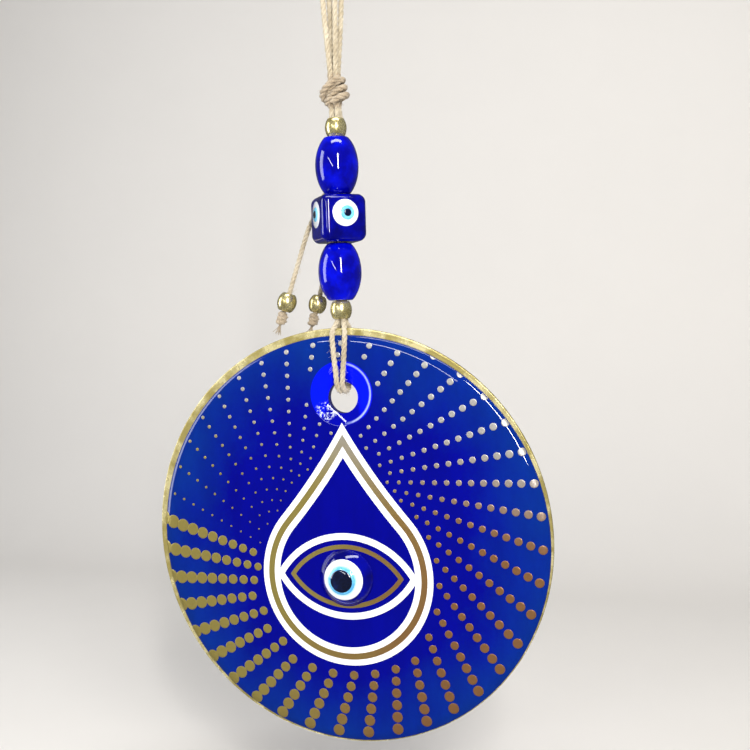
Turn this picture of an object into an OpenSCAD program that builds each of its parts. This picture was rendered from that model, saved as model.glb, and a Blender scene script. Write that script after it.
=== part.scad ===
// Evil eye ornament: a blue glass disc with a printed eye, hung on a beaded twine strand.
// +Z up, the printed face looks along -Y, the origin is the centre of the nail it hangs on.

/* [Disc] */
// Radius of the blue glass
glass_r = 61.9; // [61:0.1:63]
// Thickness of the glass
glass_t = 4.4; // [4:0.1:4.8]
// Height of the disc's centre, down from the nail
disc_drop = 177.3; // [176:0.1:178]
// Radius of the gilt rim's outside
rim_r = 63.2; // [63.2:0.1:64]
// How far the rim's outside sits above the glass's centre
rim_rise = 0.9; // [0.5:0.1:1]

/* [Cord hole] */
// Radius of the hole that the twine goes through
hole_r = 4.8; // [4.8:0.1:5]
// Height of the hole above the disc's centre
hole_up = 43.1; // [43:0.1:43.4]
// Radius of the ground dish round the hole
dish_r = 10; // [9:0.5:11]
// Depth of that dish
dish_deep = 1.9; // [1.6:0.1:2.2]

/* [Printed drop] */
// Radius of the drop's round part
drop_r = 27.3; // [25:0.1:28]
// Height of the drop's round centre, from the disc's centre
drop_up = -11.2; // [-12:0.1:-10]
// Angle at which the drop's sides leave the round part
drop_side = 41; // [38:1:44]
// Radius of the drop's hollow sides
drop_flare = 188; // [150:1:240]
// Widths of the white, gold and white bands
drop_bands = [1.75, 1.9, 1.85];

/* [Printed lids] */
// Half width of the white lids
lid_half = 22.6; // [22:0.1:23]
// Rise of the white lids above and below their corners
lid_rise = 13.2; // [12:0.1:14]
// Width of the white lid line
lid_line = 2; // [1.6:0.1:2.4]
// Half width of the gold almond
almond_half = 18.2; // [17:0.1:19]
// Rise of the gold almond
almond_rise = 9.7; // [9:0.1:10.5]
// Width of the gold almond's line
almond_line = 1.35; // [1:0.05:1.6]

/* [Foil dots] */
// Rays of dots round the disc
rays = 40; // [36:1:44]
// Dots along each ray
ray_dots = 12; // [8:1:13]
// Step from dot to dot
dot_step = 3.65; // [3.4:0.05:3.9]
// Distance along a ray to its first dot
dot_first = 15.2; // [14:0.1:17]
// Distance by which every ray passes the centre
ray_offset = 15.6; // [14:0.1:17]
// Direction of the finest ray, counterclockwise from +X
ray_start = 153.7; // [150:0.1:158]
// Outer dot of the finest ray
dot_fine = 1.3; // [1:0.05:1.6]
// Growth of the outer dot from one ray to the next
dot_growth = 0.09; // [0.06:0.005:0.1]

/* [Glass eye] */
// Radius of the raised glass eye
eye_r = 8.6; // [8:0.1:9]
// How far the eye's centre lies below the almond's
eye_low = 0.4; // [0:0.1:1]
// Gap between the eye and the gold almond
eye_gap = 0.15; // [0.1:0.05:0.3]
// Height of the raised glass eye
eye_h = 4.8; // [4:0.1:5.2]
// Radii of its white, its sky blue ring and its pupil
eye_spots = [6.2, 4.2, 3.45];

/* [Beads] */
// Diameter of the bores in the strand's beads
bore_d = 4.4; // [4.3:0.1:4.6]
// Widest radius of the long beads
oval_r = 6.5; // [6:0.1:6.8]
// Length of the long beads
oval_len = 17; // [16:0.1:17]
// Side of the square bead
cube_side = 14; // [13:0.1:14]
// Turn of the square bead about the strand
cube_turn = 38; // [0:1:90]
// Radii of the white, blue and black of its eyes
cube_spots = [3.95, 2.15, 1.2];
// Widest radius of the gold spacers
spacer_r = 3.25; // [3.1:0.05:3.4]
// Length of the gold spacers
spacer_len = 5.2; // [5:0.1:5.2]
// Radius of the gold beads on the two tails
tail_bead_r = [3.0, 2.8];

/* [Twine] */
// Diameter of the twine
twine_d = 1.6; // [1.4:0.1:1.6]

/* [Hidden] */
$fn = 64;

twine_r = twine_d / 2;
ply = 0.85;               // half the spacing of the four strands inside the beads
bead_gap = 0.3;           // room between neighbouring beads
layer = 0.12;             // thickness of the print
face = glass_t / 2;       // the disc's front, measured from its middle
shoulder_w = 3.3;         // width of the rounded edge of the glass
shoulder_d = 1.3;         // how far the rounded edge falls back
flat_r = glass_r - shoulder_w;
bevel_w = 2.6;            // bevel round the back of the glass
bevel_d = 1.6;
rim_side = -0.6;          // sideways shift of the rim's outside, as rim_rise is its upward one
dish_up = hole_up + 1.2;  // the dish is ground a little above the hole
drop_gap = 0.8;           // bare glass between the drop and the dots
dish_gap = 0.3;           // bare glass between the dish and the dots
dot_inner = 0.27;         // share of a dot's size left where the ray passes the centre
dot_reach = 55;           // distance along a ray at which a dot has its full size

// Heights along the strand, from the bottom spacer up
stack_bottom = -110.4;
spacer_low_z = stack_bottom + spacer_len / 2;
oval_low_z = stack_bottom + spacer_len + bead_gap + oval_len / 2;
cube_z = oval_low_z + oval_len / 2 + bead_gap + cube_side / 2;
oval_up_z = cube_z + cube_side / 2 + bead_gap + oval_len / 2;
spacer_up_z = oval_up_z + oval_len / 2 + bead_gap + spacer_len / 2;

knot_z = -43;             // middle of the main knot
wrap_r = 2.4;             // ring radius of the knot's wraps
wrap_thick = 1.7;         // half thickness of a wrap
wrap_step = 2.9;
knot_core = 2.8;          // length that the knot's core adds to its wraps
neck_top = -49;           // short strands between the knot and the beads
neck_low = -53;
strand_top = -53.2;

spacer_end = 2.45;        // radii of the beads' flat ends
oval_end = 3.6;
cube_round = 1.7;         // rounding of the square bead
cube_core = cube_side / 2 - cube_round;
spot_rise = 0.45;         // height of the square bead's eyes
spot_shift = 0.55;        // their blue sits a little off the middle of the white
spot_up = 1.2;            // and all of them sit above the middle of their face
cube_layers = [0.18, 0.32];
eye_layers = [0.25, 0.4, 0.55];

// Tail beads and tail knots, as shares of their radius
tail_bead_long = 1.9;
tail_bead_end = 0.62;
tail_wrap = 0.62;
tail_wrap_step = 0.9;
tail_bore = twine_d + 0.5;
tail_end = 4.6;           // length of the loose end through a tail knot
tail_knot_r = [1.6, 1.5];

// Routes of the twine, chosen by hand
loop_front = [[-0.85, -0.9, -36.8], [-1.5, -0.9, -29], [-2.3, -0.9, -22], [-2.9, -0.9, -15],
    [-3.4, -0.9, -8], [-3.6, -0.9, -3], [-3.6, -0.9, 0], [-3.1, -0.9, 1.8], [-1.8, -0.9, 3.1],
    [0, -0.9, 3.6], [1.8, -0.9, 3.1], [3.1, -0.9, 1.8], [3.6, -0.9, 0], [3.4, -0.9, -3],
    [2.6, -0.9, -8], [1.6, -0.9, -15], [1.1, -0.9, -22], [0.9, -0.9, -29], [0.85, -0.9, -36.8]];
loop_back = [for (p = loop_front) [-p.x, -p.y, p.z]];
hole_front = [[1.05, -0.9, -111.8], [1.4, -1.7, -112.4], [1.9, -2.7, -113.6], [2, -3.1, -115.8],
    [1.8, -3.2, -119], [1.5, -3.2, -123], [1.1, -3.2, -127], [0.95, -3.2, -129.2]];
hole_turn = [for (a = [15:15:165]) [0.87, -3.2 * cos(a), -129.2 - 3.2 * sin(a)]];
hole_back = [for (i = [len(hole_front) - 1:-1:0])
    [hole_front[i].x, -hole_front[i].y, hole_front[i].z]];
hole_route = concat(hole_front, hole_turn, hole_back);
long_route = [[-2.6, 3.1, -51], [-3.1, 4.9, -53.4], [-3.5, 6.4, -57], [-4, 7.2, -61.5],
    [-4.9, 7.6, -66], [-6.8, 8, -71], [-9.1, 8, -75.2], [-11.3, 7.5, -79.4], [-12.9, 6.9, -83],
    [-15.2, 6.1, -90.3], [-17.4, 5.3, -97.5], [-19.6, 4.5, -104.8], [-20.6, 4.1, -108]];
short_route = [[0.3, 4, -51], [0.1, 5.5, -54], [-0.2, 6.9, -58], [-0.4, 7.6, -64],
    [-1, 8.4, -70], [-2.4, 9.6, -75], [-3.9, 10.2, -80.5], [-5.5, 10, -86], [-6.9, 9.3, -91],
    [-8.1, 8.6, -95.9], [-9.2, 7.9, -100.7], [-10.4, 7.2, -105.6], [-11.2, 6.7, -108.8]];

// Sweeping a round section along a route
function unit(v) = v / norm(v);
function heading(p, i) = unit(p[min(i + 1, len(p) - 1)] - p[max(i - 1, 0)]);
function across(p, i) =
    let (t = heading(p, i), ref = abs(t.y) > 0.9 ? [1, 0, 0] : [0, 1, 0])
    unit(cross(t, ref));
function rings(p, r, n) = [for (i = [0:len(p) - 1])
    let (t = heading(p, i), u = across(p, i), v = cross(t, u))
    for (k = [0:n - 1]) p[i] + r * (cos(360 * k / n) * u + sin(360 * k / n) * v)];
function sleeve(m, n) = [for (i = [0:m - 2], k = [0:n - 1])
    [i * n + k, i * n + (k + 1) % n, (i + 1) * n + (k + 1) % n, (i + 1) * n + k]];

module tube(route, r = twine_r, sides = 8) {
    m = len(route);
    polyhedron(rings(route, r, sides), concat(
        [[for (k = [sides - 1:-1:0]) k]],
        sleeve(m, sides),
        [[for (k = [0:sides - 1]) (m - 1) * sides + k]]));
}

// Turns Z onto the direction of the stretch from a to b, and moves there
module along(a, b) {
    d = b - a;
    translate(a)
        rotate([0, acos(d.z / norm(d)), atan2(d.y, d.x)])
            children();
}

// ---- twine ----
module hanging_loop_front() { color("ivory") tube(loop_front); }
module hanging_loop_back() { color("ivory") tube(loop_back); }

module wraps(rows, ring, thick, step) {
    for (i = [0:rows - 1])
        translate([0, 0, (i - (rows - 1) / 2) * step])
            rotate_extrude() translate([ring, 0]) circle(thick);
}

module main_knot() {
    color("wheat") translate([0, 0, knot_z]) {
        wraps(3, wrap_r, wrap_thick, wrap_step);
        cylinder(h = 2 * wrap_step + knot_core, r = wrap_r, center = true);
    }
}

module four_strands(top, bottom) {
    for (x = [-ply, ply], y = [-ply, ply]) tube([[x, y, top], [x, y, bottom]]);
}

module strand_neck() { color("ivory") four_strands(neck_top, neck_low); }
module strand_twine() { color("ivory") four_strands(strand_top, stack_bottom); }
module hole_loop_right() { color("ivory") tube(hole_route); }
module hole_loop_left() { color("ivory") mirror([1, 0, 0]) tube(hole_route); }

// ---- beads ----
module bored(h, d) {
    difference() {
        children();
        cylinder(h = h + 2, d = d, center = true);
    }
}

// An oval outline cut flat at both ends
function oval_side(r, h, end) = let (a = h / 2 / sqrt(1 - pow(end / r, 2)))
    [for (i = [-12:12]) let (z = h / 2 * sin(i * 7.5)) [r * sqrt(1 - pow(z / a, 2)), z]];

module barrel(r, h, end) {
    rotate_extrude() polygon(concat([[0, -h / 2]], oval_side(r, h, end), [[0, h / 2]]));
}

module spacer() { color("gold") bored(spacer_len, bore_d) barrel(spacer_r, spacer_len, spacer_end); }
module oval_bead() { color("mediumblue") bored(oval_len, bore_d) barrel(oval_r, oval_len, oval_end); }
module spacer_upper() { translate([0, 0, spacer_up_z]) spacer(); }
module spacer_lower() { translate([0, 0, spacer_low_z]) spacer(); }
module oval_bead_upper() { translate([0, 0, oval_up_z]) oval_bead(); }
module oval_bead_lower() { translate([0, 0, oval_low_z]) oval_bead(); }

module on_cube() { translate([0, 0, cube_z]) rotate([0, 0, cube_turn]) children(); }

module square_bead() {
    color("mediumblue") on_cube() bored(cube_side, bore_d) hull()
        for (x = [-cube_core, cube_core], y = [-cube_core, cube_core], z = [-cube_core, cube_core])
            translate([x, y, z]) sphere(cube_round, $fn = 24);
}

// The cap that a ball of radius ball cuts off at height h over a base of radius r
function ball_for(r, h) = (r * r + h * h) / (2 * h);

module cap(r, h) {
    ball = ball_for(r, h);
    rotate_extrude() intersection() {
        translate([0, h - ball]) circle(ball, $fn = 256);
        square([r + 1, h + 1]);
    }
}

// A fused layer that follows a ball, from one radius to the next, cut to a round spot
module spot(ball, low, high, r, sink) {
    rotate_extrude() intersection() {
        translate([0, -sink]) difference() {
            circle(ball + high, $fn = 256);
            circle(ball + low, $fn = 256);
        }
        square([r, ball]);
    }
}

cube_ball = ball_for(cube_spots[0], spot_rise);

module on_cube_faces() {
    on_cube() for (a = [0, 90, 180, 270])
        rotate([90, 0, a]) translate([0, spot_up, cube_side / 2]) children();
}

module square_bead_whites() { color("white") on_cube_faces() cap(cube_spots[0], spot_rise); }

module cube_layer(low, high, r) {
    on_cube_faces() intersection() {
        spot(cube_ball, low, high, cube_spots[0], cube_ball - spot_rise);
        translate([spot_shift, 0, 0]) cylinder(h = 3, r = r);
    }
}

module square_bead_blues() { color("lightskyblue") cube_layer(0, cube_layers[0], cube_spots[1]); }
module square_bead_pupils() {
    color("black") cube_layer(cube_layers[0], cube_layers[1], cube_spots[2]);
}

// ---- disc: drawn flat with its front along +Z, then stood up to look along -Y ----
module on_disc() { translate([0, 0, -disc_drop]) rotate([90, 0, 0]) children(); }

function shoulder() = [for (a = [90:-15:0])
    [flat_r + shoulder_w * sin(a), face - shoulder_d * (1 - cos(a))]];

module glass_disc() {
    ball = ball_for(dish_r, dish_deep);
    color("mediumblue") on_disc() difference() {
        rotate_extrude($fn = 128) polygon(concat(
            [[0, -face], [glass_r - bevel_w, -face], [glass_r, bevel_d - face]], shoulder(),
            [[0, face]]));
        translate([0, hole_up, 0]) cylinder(h = glass_t + 2, r = hole_r, center = true);
        translate([0, dish_up, face - dish_deep + ball]) sphere(ball);
    }
}

rim_front = face - shoulder_d;
rim_back = bevel_d - face;

module gilt_rim() {
    color("goldenrod") on_disc() difference() {
        translate([rim_side, rim_rise, rim_back]) cylinder(h = rim_front - rim_back, r = rim_r,
            $fn = 128);
        translate([0, 0, rim_back - 1]) cylinder(h = glass_t + 2, r = glass_r + 0.02, $fn = 128);
    }
}

// The drop drawn a little inside its outline; the round part and the hollow sides keep their
// centres, so only the radii change
flare_x = (drop_r + drop_flare) * cos(drop_side);
flare_y = (drop_r + drop_flare) * sin(drop_side);
function drop_tip(inset) = flare_y - sqrt(pow(drop_flare + inset, 2) - pow(flare_x, 2));

module drop(inset) {
    tangent = (drop_r - inset) * [cos(drop_side), sin(drop_side)];
    translate([0, drop_up]) union() {
        circle(drop_r - inset, $fn = 128);
        difference() {
            polygon([[0, 0], tangent, [0, drop_tip(inset) + 4], [-tangent.x, tangent.y]]);
            for (s = [-1, 1]) translate([s * flare_x, flare_y])
                circle(drop_flare + inset, $fn = 256);
        }
    }
}

module band(from, to) {
    difference() {
        drop(from);
        drop(to);
    }
}

module print() { on_disc() translate([0, 0, face]) linear_extrude(layer) children(); }

module drop_white_outer() { color("white") print() band(0, drop_bands[0]); }
module drop_gold_line() {
    color("darkgoldenrod") print() band(drop_bands[0] + 0.02, drop_bands[0] + drop_bands[1]);
}
inner_edge = drop_bands[0] + drop_bands[1] + drop_bands[2];
module drop_white_inner() {
    color("white") print() band(drop_bands[0] + drop_bands[1] + 0.02, inner_edge);
}

// Two arcs that meet in corners at either side, drawn inset without moving their centres
module almond(half, rise, inset) {
    r = ball_for(half, rise);
    intersection_for (s = [-1, 1])
        translate([0, s * (rise - r)]) circle(r - inset, $fn = 160);
}

module lens_line(half, rise, line) {
    translate([0, drop_up]) difference() {
        almond(half, rise, 0);
        almond(half, rise, line);
    }
}

module lid_lines() {
    color("white") print() intersection() {
        lens_line(lid_half, lid_rise, lid_line);
        drop(inner_edge + 0.02);
    }
}

module almond_line() {
    color("darkgoldenrod") print() difference() {
        lens_line(almond_half, almond_rise, almond_line);
        translate([0, drop_up - eye_low]) circle(eye_r + eye_gap);
    }
}

// Foil dots: straight rays that all pass the centre at the same distance, finest at
// ray_start and growing clockwise
function dot_along(j) = dot_first + j * dot_step;
function dot_at(i, j) = let (a = ray_start - i * 360 / rays)
    [dot_along(j) * cos(a) - ray_offset * sin(a), dot_along(j) * sin(a) + ray_offset * cos(a)];
function dot_size(i, j) = (dot_fine + dot_growth * i * 40 / rays)
    * (dot_inner + (1 - dot_inner) * dot_along(j) / dot_reach);
function outside_drop(p, gap) = let (q = [abs(p.x), p.y - drop_up])
    norm(q) > drop_r + gap
    && (q.y < 0 || q.y > drop_tip(0) + gap || q.x > flare_x
        || norm(q - [flare_x, flare_y]) < drop_flare - gap
        || norm(q) * sin(drop_side - atan2(q.y, q.x)) > 0);
function dot_shows(p, d) = outside_drop(p, d / 2 + drop_gap)
    && norm(p - [0, dish_up]) > dish_r + d / 2 + dish_gap;

module foil_dots() {
    color("goldenrod") print() intersection() {
        circle(flat_r - 0.1, $fn = 128);
        for (i = [0:rays - 1], j = [0:ray_dots - 1])
            if (dot_shows(dot_at(i, j), dot_size(i, j)))
                translate(dot_at(i, j)) circle(d = dot_size(i, j), $fn = 16);
    }
}

module on_eye() { on_disc() translate([0, drop_up - eye_low, face]) children(); }

eye_ball = ball_for(eye_r, eye_h);
eye_sink = eye_ball - eye_h;
module glass_eye() { color("blue") on_eye() cap(eye_r, eye_h); }
module eye_white() {
    color("white") on_eye() spot(eye_ball, 0, eye_layers[0], eye_spots[0], eye_sink);
}
module eye_sky_ring() {
    color("skyblue") on_eye() spot(eye_ball, eye_layers[0], eye_layers[1], eye_spots[1], eye_sink);
}
module eye_pupil() {
    color("black") on_eye() spot(eye_ball, eye_layers[1], eye_layers[2], eye_spots[2], eye_sink);
}

// ---- the two tails that leave the main knot ----
module tail_bead(route, r) {
    n = len(route);
    color("gold") along(route[n - 2], route[n - 1])
        bored(2 * r, tail_bore) barrel(r, tail_bead_long * r, tail_bead_end * r);
}

module tail_knot(route, r) {
    n = len(route);
    color("wheat") along(route[n - 1], 2 * route[n - 1] - route[n - 2])
        translate([0, 0, r + 0.1]) {
            wraps(2, r * tail_wrap, r * tail_wrap, r * tail_wrap_step);
            translate([0, 0, -r * tail_wrap]) cylinder(h = tail_end, r = twine_r * 0.8);
        }
}

module tail_long() { color("ivory") tube(long_route); }
module tail_long_bead() { tail_bead(long_route, tail_bead_r[0]); }
module tail_long_knot() { tail_knot(long_route, tail_knot_r[0]); }
module tail_short() { color("ivory") tube(short_route); }
module tail_short_bead() { tail_bead(short_route, tail_bead_r[1]); }
module tail_short_knot() { tail_knot(short_route, tail_knot_r[1]); }

hanging_loop_front();
hanging_loop_back();
main_knot();
strand_neck();
strand_twine();
spacer_upper();
oval_bead_upper();
square_bead();
square_bead_whites();
square_bead_blues();
square_bead_pupils();
oval_bead_lower();
spacer_lower();
hole_loop_left();
hole_loop_right();
glass_disc();
gilt_rim();
drop_white_outer();
drop_gold_line();
drop_white_inner();
lid_lines();
almond_line();
foil_dots();
glass_eye();
eye_white();
eye_sky_ring();
eye_pupil();
tail_long();
tail_long_bead();
tail_long_knot();
tail_short();
tail_short_bead();
tail_short_knot();
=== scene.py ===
import math

import bmesh
import bpy
from mathutils import Matrix, Vector


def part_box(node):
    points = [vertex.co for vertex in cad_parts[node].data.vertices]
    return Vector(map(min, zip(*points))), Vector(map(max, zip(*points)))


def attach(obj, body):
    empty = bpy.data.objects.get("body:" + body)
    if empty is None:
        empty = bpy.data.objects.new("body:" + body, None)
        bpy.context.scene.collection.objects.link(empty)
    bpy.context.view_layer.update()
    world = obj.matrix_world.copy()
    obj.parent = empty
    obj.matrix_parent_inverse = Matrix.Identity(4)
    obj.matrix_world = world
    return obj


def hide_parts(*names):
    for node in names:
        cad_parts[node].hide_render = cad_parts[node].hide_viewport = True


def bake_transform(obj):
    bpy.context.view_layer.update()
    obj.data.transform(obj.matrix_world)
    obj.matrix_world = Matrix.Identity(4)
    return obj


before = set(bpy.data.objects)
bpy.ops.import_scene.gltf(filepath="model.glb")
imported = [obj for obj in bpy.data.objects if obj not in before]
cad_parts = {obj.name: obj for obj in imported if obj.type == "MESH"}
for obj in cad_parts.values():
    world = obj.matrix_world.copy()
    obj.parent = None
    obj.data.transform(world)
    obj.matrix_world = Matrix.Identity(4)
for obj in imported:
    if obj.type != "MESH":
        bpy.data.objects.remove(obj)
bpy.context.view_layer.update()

mm = 0.001  # the dictionaries below are in millimetres and degrees
fullTurn = 2 * math.pi


def place(x, y, z):
    return Vector((x, y, z)) * mm


def pickSocket(sockets, key):
    if isinstance(key, int):
        return sockets[key]
    return next(s for s in sockets if s.enabled and s.name == key)


class Graph:
    def __init__(self, tree):
        self.tree = tree

    def add(self, kind, settings=None, inputs=None, output=None):
        node = self.tree.nodes.new(kind)
        for name, value in (settings or {}).items():
            if name == "stops":
                fillRamp(node.color_ramp, value)
            else:
                setattr(node, name, value)
        for key, value in (inputs or {}).items():
            self.feed(pickSocket(node.inputs, key), value)
        if output is None:
            return Wire(self, next(s for s in node.outputs if s.enabled))
        return Wire(self, pickSocket(node.outputs, output))

    def feed(self, socket, value):
        if isinstance(value, Wire):
            self.tree.links.new(value.socket, socket)
        else:
            socket.default_value = value

    def maths(self, operation, a, b=0.0):
        return self.add("ShaderNodeMath", {"operation": operation}, {0: a, 1: b})

    def vector(self, operation, a, b):
        return self.add("ShaderNodeVectorMath", {"operation": operation}, {0: a, 1: b}, "Vector")

    def scaled(self, a, factor):
        return self.add("ShaderNodeVectorMath", {"operation": "SCALE"}, {0: a, "Scale": factor})

    def blendColour(self, factor, a, b):
        a, b = (colour if isinstance(colour, Wire) else (*colour, 1) for colour in (a, b))
        return self.add("ShaderNodeMix", {"data_type": "RGBA"}, {"Factor": factor, "A": a, "B": b})

    def ramp(self, value, stops):
        return self.add("ShaderNodeValToRGB", {"stops": stops}, {0: value})

    def noise(self, where, scale, detail=2.0, roughness=0.5):
        inputs = {"Vector": where, "Scale": scale, "Detail": detail, "Roughness": roughness}
        return self.add("ShaderNodeTexNoise", None, inputs)

    def smooth(self, value, low, high):
        inputs = {"Value": value, "From Min": low, "From Max": high}
        return self.add("ShaderNodeMapRange", {"interpolation_type": "SMOOTHSTEP"}, inputs)

    def split(self, where):
        node = self.add("ShaderNodeSeparateXYZ", None, {0: where}).socket.node
        return [Wire(self, s) for s in node.outputs]

    def joined(self, x, y, z):
        return self.add("ShaderNodeCombineXYZ", None, {0: x, 1: y, 2: z})

    def store(self, geometry, name, value, kind="FLOAT"):
        return self.add("GeometryNodeStoreNamedAttribute", {"data_type": kind, "domain": "POINT"},
                        {"Geometry": geometry, "Name": name, "Value": value})

    def stored(self, name):
        settings = {"data_type": "FLOAT"}
        return self.add("GeometryNodeInputNamedAttribute", settings, {"Name": name}, "Attribute")

    def circle(self, sides, radius):
        return self.add("GeometryNodeCurvePrimitiveCircle", {"mode": "RADIUS"},
                        {"Resolution": sides, "Radius": radius}, "Curve")

    def sweep(self, path, profile):
        return self.add("GeometryNodeCurveToMesh", None,
                        {"Curve": path, "Profile Curve": profile, "Fill Caps": True})


class Wire:  # one socket, so that sums of sockets read as sums
    def __init__(self, graph, socket):
        self.graph = graph
        self.socket = socket

    def output(self, name):
        return Wire(self.graph, pickSocket(self.socket.node.outputs, name))

    def __add__(self, other):
        return self.graph.maths("ADD", self, other)

    def __radd__(self, other):
        return self.graph.maths("ADD", other, self)

    def __sub__(self, other):
        return self.graph.maths("SUBTRACT", self, other)

    def __rsub__(self, other):
        return self.graph.maths("SUBTRACT", other, self)

    def __mul__(self, other):
        return self.graph.maths("MULTIPLY", self, other)

    def __rmul__(self, other):
        return self.graph.maths("MULTIPLY", other, self)

    def __truediv__(self, other):
        return self.graph.maths("DIVIDE", self, other)

    def __pow__(self, other):
        return self.graph.maths("POWER", self, other)

    def __gt__(self, other):
        return self.graph.maths("GREATER_THAN", self, other)

    def __lt__(self, other):
        return self.graph.maths("LESS_THAN", self, other)


def sine(wire):
    return wire.graph.maths("SINE", wire)


def cosine(wire):
    return wire.graph.maths("COSINE", wire)


def root(wire):
    return wire.graph.maths("SQRT", wire)


def size(wire):
    return wire.graph.maths("ABSOLUTE", wire)


def smaller(wire, other):
    return wire.graph.maths("MINIMUM", wire, other)


def larger(wire, other):
    return wire.graph.maths("MAXIMUM", wire, other)


def fillRamp(ramp, stops):
    while len(ramp.elements) < len(stops):
        ramp.elements.new(0.5)
    for element, (position, colour) in zip(ramp.elements, stops):
        element.position = position
        element.color = (*colour, 1.0)


def newBuildTree(name, inputs):
    # inputs lists the names of the tree's inputs under their kinds
    tree = bpy.data.node_groups.new(name, "GeometryNodeTree")
    for kind, labels in inputs.items():
        for label in labels:
            tree.interface.new_socket(name=label, in_out="INPUT", socket_type="NodeSocket" + kind)
    tree.interface.new_socket(name="Geometry", in_out="OUTPUT", socket_type="NodeSocketGeometry")
    graph = Graph(tree)
    start = tree.nodes.new("NodeGroupInput")
    values = {label: Wire(graph, start.outputs[label]) for labels in inputs.values() for label in labels}
    return graph, values


def endBuildTree(graph, geometry, material):
    real = graph.add("GeometryNodeRealizeInstances", None, {"Geometry": geometry})
    painted = graph.add("GeometryNodeSetMaterial", None, {"Geometry": real, "Material": material})
    end = graph.tree.nodes.new("NodeGroupOutput")
    graph.feed(end.inputs["Geometry"], painted)


def runBuildTree(name, source, tree, inputs):
    # turns the tree's result into a plain mesh and drops the source
    modifier = source.modifiers.new("build", "NODES")
    modifier.node_group = tree
    for item in tree.interface.items_tree:
        if item.in_out == "INPUT" and item.name in inputs:
            value = inputs[item.name]
            modifier[item.identifier] = float(value) if item.socket_type == "NodeSocketFloat" else value
    bpy.context.view_layer.update()
    graph = bpy.context.evaluated_depsgraph_get()
    mesh = bpy.data.meshes.new_from_object(source.evaluated_get(graph), depsgraph=graph)
    source.modifiers.remove(modifier)
    bpy.data.objects.remove(source)
    return addPiece(name, mesh)


def addObject(name, data):
    thing = bpy.data.objects.new(name, data)
    bpy.context.scene.collection.objects.link(thing)
    return thing


def addPiece(name, mesh, sharpAngle=40):
    mesh.name = name
    mesh.shade_smooth()
    mesh.set_sharp_from_angle(angle=math.radians(sharpAngle))
    return addObject(name, mesh)


def lineMesh(name, routes):
    # loose lines, one for each route, for a tree to build along
    mesh = bpy.data.meshes.new(name)
    points = [tuple(p) for route in routes for p in route]
    edges = []
    start = 0
    for route in routes:
        edges += [(start + i, start + i + 1) for i in range(len(route) - 1)]
        start += len(route)
    mesh.from_pydata(points, edges, [])
    return addObject(name, mesh)


def skinRings(rings, closed):
    # joins rings of equal count into one skin, and ends an open skin in a pole at either end
    count = len(rings[0])
    built = bmesh.new()
    rows = [[built.verts.new(p) for p in ring] for ring in rings]
    pairs = list(zip(rows, rows[1:]))
    if closed:
        pairs.append((rows[-1], rows[0]))
    for a, b in pairs:
        for k in range(count):
            n = (k + 1) % count
            built.faces.new((a[k], b[k], b[n], a[n]))
    if not closed:
        for row in (rows[0], rows[-1]):
            pole = built.verts.new(sum((v.co for v in row), Vector()) / count)
            for k in range(count):
                built.faces.new((row[k], row[(k + 1) % count], pole))
    return built


def takeMesh(name, built):
    mesh = bpy.data.meshes.new(name)
    built.to_mesh(mesh)
    built.free()
    return mesh


def finishMesh(name, built, sharpAngle=40):
    bmesh.ops.recalc_face_normals(built, faces=built.faces)
    return addPiece(name, takeMesh(name, built), sharpAngle)


def turnedRings(profile, count, moved):
    # the profile's radius and height pairs, turned about the local axis and put in place
    angles = [fullTurn * k / count for k in range(count)]
    return [[moved(r * math.cos(a), r * math.sin(a), h) for a in angles] for r, h in profile]


def softCorner(before, corner, after, radius, steps=5):
    # a profile's corner as a small arc
    a = (Vector(before) - Vector(corner)).normalized()
    b = (Vector(after) - Vector(corner)).normalized()
    half = a.angle(b) / 2
    reach = radius / math.tan(half)
    centre = Vector(corner) + (a + b).normalized() * radius / math.sin(half)
    first = Vector(corner) + a * reach - centre
    last = Vector(corner) + b * reach - centre
    points = []
    for i in range(steps + 1):
        arm = first.lerp(last, i / steps).normalized() * radius
        points.append(tuple(centre + arm))
    return points


def smoothRoute(points, perSpan):
    # a smooth line through every listed point
    ends = [2 * points[0] - points[1]] + list(points) + [2 * points[-1] - points[-2]]
    line = []
    for a, b, c, d in zip(ends, ends[1:], ends[2:], ends[3:]):
        for i in range(perSpan):
            t = i / perSpan
            pull = 2 * a - 5 * b + 4 * c - d
            bend = -a + 3 * b - 3 * c + d
            line.append(0.5 * (2 * b + (c - a) * t + pull * t * t + bend * t ** 3))
    return line + [points[-1]]


def lineLength(line):
    return sum((b - a).length for a, b in zip(line, line[1:]))


def wear(piece, material, body, slot, *nodes):
    # gives a finished piece its material, its body and the nodes that it stands for
    if material is not None:
        piece.data.materials.clear()
        piece.data.materials.append(material)
    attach(piece, body)
    if nodes:
        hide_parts(*nodes)
    return piece


cameraView = {
    "azimuth": 18.5,
    "elevation": 2.56,
    "distance": 300,
    "roll": -1.6,
    "target": (10.2, 0, -127.6),
    "lens": 48.1,
}


def makeCamera(values):
    turn = math.radians(values["azimuth"])
    rise = math.radians(values["elevation"])
    roll = math.radians(values["roll"])
    level = math.cos(rise)
    back = Vector((math.sin(turn) * level, -math.cos(turn) * level, math.sin(rise)))
    right = (-back).cross(Vector((0, 0, 1))).normalized()
    up = back.cross(right)
    across = right * math.cos(roll) + up * math.sin(roll)
    upright = up * math.cos(roll) - right * math.sin(roll)
    camera = addObject("camera", bpy.data.cameras.new("camera"))
    camera.data.lens = values["lens"]
    camera.data.clip_start = 0.01
    spot = place(*values["target"]) + back * values["distance"] * mm
    camera.matrix_world = Matrix.Translation(spot) @ Matrix((across, upright, back)).transposed().to_4x4()
    bpy.context.scene.camera = camera


makeCamera(cameraView)
print("camera placed")


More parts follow.
